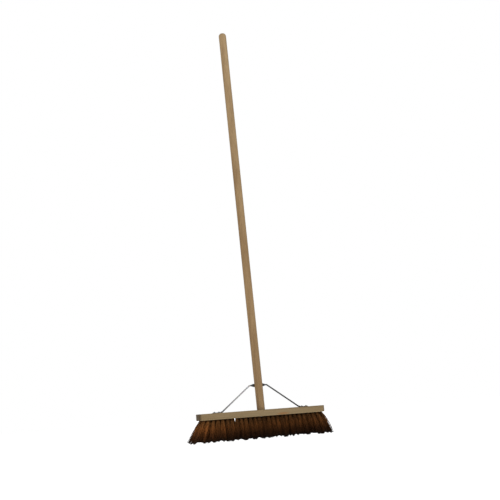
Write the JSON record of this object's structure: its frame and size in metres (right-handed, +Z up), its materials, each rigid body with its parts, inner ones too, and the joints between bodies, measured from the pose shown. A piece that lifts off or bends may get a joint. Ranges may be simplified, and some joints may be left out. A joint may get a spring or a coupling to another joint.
{
  "type": "push broom",
  "caption": "Push broom with a flat wooden stock, a raked round wooden handle, a steel rod stay and rows of stiff brown coir tufts.",
  "frame": {"origin": "on the floor, at the centre of the sweeping face, under the middle of the stock", "axes": "+X along the stock, +Y towards the back, where the handle leans, +Z up"},
  "size_m": [0.5056, 0.1825, 1.5476],
  "materials": {
    "stock_wood": "matte",
    "handle_wood": "satin",
    "stay_steel": "satin",
    "screw_steel": "satin",
    "coir_fibre": "matte",
    "staple_wire": "satin"
  },
  "bodies": {
    "root": {"stock": "stock_wood", "handle": "handle_wood", "stay": "stay_steel", "foot_screws": "screw_steel", "saddle_screw": "screw_steel", "handle_nail": "screw_steel", "tufts_row_1": "coir_fibre", "tufts_row_2": "coir_fibre", "tufts_row_3": "coir_fibre", "tufts_row_4": "coir_fibre", "tufts_row_5": "coir_fibre", "staples_row_1": "staple_wire", "staples_row_2": "staple_wire", "staples_row_3": "staple_wire", "staples_row_4": "staple_wire", "staples_row_5": "staple_wire"}
  },
  "joints": []
}
